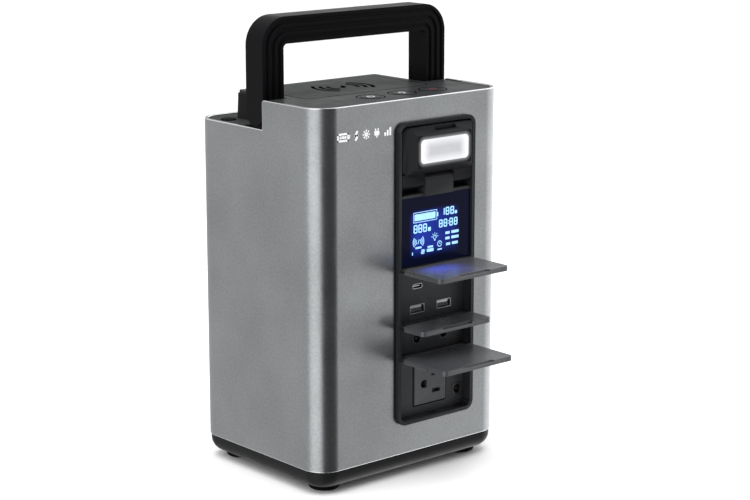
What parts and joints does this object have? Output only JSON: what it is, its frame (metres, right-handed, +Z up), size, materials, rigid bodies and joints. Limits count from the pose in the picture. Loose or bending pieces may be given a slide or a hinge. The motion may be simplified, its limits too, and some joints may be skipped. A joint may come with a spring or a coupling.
{
  "type": "portable power station",
  "caption": "Upright portable power station in a metal sleeve, with a fold-back handle, wireless charging top, tilting lamp, display and hinged port doors.",
  "frame": {"origin": "on the ground under the centre of the part's box, doors open", "axes": "+X to the right seen from the front panel, +Y to the rear, +Z up; the front panel faces -Y"},
  "size_m": [0.17, 0.1838, 0.324],
  "materials": {
    "aluminium_grey": "bead-blasted and anodised space grey",
    "black_plastic": "fine moulded texture",
    "panel_black": "satin moulded",
    "door_grey": "satin moulded",
    "top_grey": "fine matte texture",
    "pad_grey": "soft matte rubber skin",
    "deck_grey": "fine matte texture",
    "handle_black": "satin, ribbed grip",
    "rubber_black": "matte rubber",
    "button_grey": "satin keycap",
    "lamp_black": "satin moulded",
    "lamp_diffuser": "lit opal diffuser",
    "display_glass": "polished dark window over a lit display",
    "display_blue": "backlit blue display",
    "steel": "zinc plated",
    "port_metal": "nickel plated shell",
    "socket_black": "moulded socket",
    "outlet_grey": "moulded outlet face",
    "frame_grey": "moulded inner frame",
    "board_green": "solder mask",
    "cell_blue": "sleeved cell; aluminium's density is near a real cell's",
    "copper": "enamelled copper winding",
    "ferrite": "sintered sheet",
    "lead_red": "silicone insulation",
    "heat_sink_metal": "extruded",
    "winding": "taped winding and core",
    "capacitor_sleeve": "sleeved"
  },
  "bodies": {
    "base": {"housing_sleeve": "aluminium_grey", "bottom_cover": "black_plastic", "foot_front_left": "rubber_black", "foot_front_right": "rubber_black", "foot_rear_left": "rubber_black", "foot_rear_right": "rubber_black", "foot_screws": "steel", "top_frame": "black_plastic", "top_plate": "top_grey", "charging_pad": "pad_grey", "charging_coil": "copper", "coil_shield": "ferrite", "deck_cover": "deck_grey", "deck_bumpers": "rubber_black", "handle_pins": "steel", "handle_washers": "black_plastic", "button_switches": "socket_black", "button_board": "board_green", "front_bezel": "panel_black", "port_panel": "panel_black", "lamp_pin": "steel", "lcd_window": "display_glass", "lcd_module": "display_blue", "display_board": "board_green", "door_usb_pin": "steel", "door_dc_pin": "steel", "door_ac_pin": "steel", "usb_a_left": "port_metal", "usb_a_right": "port_metal", "usb_c_left": "port_metal", "usb_c_right": "port_metal", "usb_board": "board_green", "dc_jacks": "socket_black", "ac_outlet": "outlet_grey", "dc_input": "socket_black", "inner_frame": "frame_grey", "battery_cells": "cell_blue", "cell_holder_lower": "frame_grey", "cell_holder_upper": "frame_grey", "battery_board": "board_green", "battery_leads": "lead_red", "inverter_board": "board_green", "heat_sink": "heat_sink_metal", "transformer": "winding", "capacitors": "capacitor_sleeve", "fan_frame": "black_plastic", "rear_grille": "black_plastic"},
    "handle": {"handle": "handle_black"},
    "lamp": {"lamp_housing": "lamp_black", "lamp_lens": "lamp_diffuser", "lamp_led_board": "board_green"},
    "usb_door": {"door_usb": "door_grey"},
    "dc_door": {"door_dc": "door_grey"},
    "ac_door": {"door_ac": "door_grey"},
    "left_button": {"button_left": "button_grey"},
    "middle_button": {"button_middle": "button_grey"},
    "right_button": {"button_right": "button_grey"},
    "fan": {"fan_rotor": "black_plastic"}
  },
  "joints": [
    {"name": "handle_fold", "type": "hinge", "parent": "base", "child": "handle", "pos_m": [0, 0.0247, 0.259], "axis": [1, 0, 0], "range_deg": [-90, 0]},
    {"name": "lamp_tilt", "type": "hinge", "parent": "base", "child": "lamp", "pos_m": [0.0195, -0.0433, 0.2105], "axis": [1, 0, 0], "range_deg": [0, 90]},
    {"name": "usb_door_swing", "type": "hinge", "parent": "base", "child": "usb_door", "pos_m": [0.0195, -0.0479, 0.15], "axis": [1, 0, 0], "range_deg": [-90, 90]},
    {"name": "dc_door_swing", "type": "hinge", "parent": "base", "child": "dc_door", "pos_m": [0.0195, -0.0479, 0.1097], "axis": [1, 0, 0], "range_deg": [-90, 90]},
    {"name": "ac_door_swing", "type": "hinge", "parent": "base", "child": "ac_door", "pos_m": [0.0195, -0.0479, 0.0864], "axis": [1, 0, 0], "range_deg": [-30, 90]},
    {"name": "left_button_press", "type": "slide", "parent": "base", "child": "left_button", "axis": [0, 0, -1], "range_m": [0, 0.0008], "stiffness_N_per_m": 1200, "springref_m": -0.0004},
    {"name": "middle_button_press", "type": "slide", "parent": "base", "child": "middle_button", "axis": [0, 0, -1], "range_m": [0, 0.0008], "stiffness_N_per_m": 1200, "springref_m": -0.0004},
    {"name": "right_button_press", "type": "slide", "parent": "base", "child": "right_button", "axis": [0, 0, -1], "range_m": [0, 0.0008], "stiffness_N_per_m": 1200, "springref_m": -0.0004},
    {"name": "fan_spin", "type": "hinge", "parent": "base", "child": "fan", "pos_m": [0, 0.0819, 0.2], "axis": [0, 1, 0], "continuous": true}
  ]
}
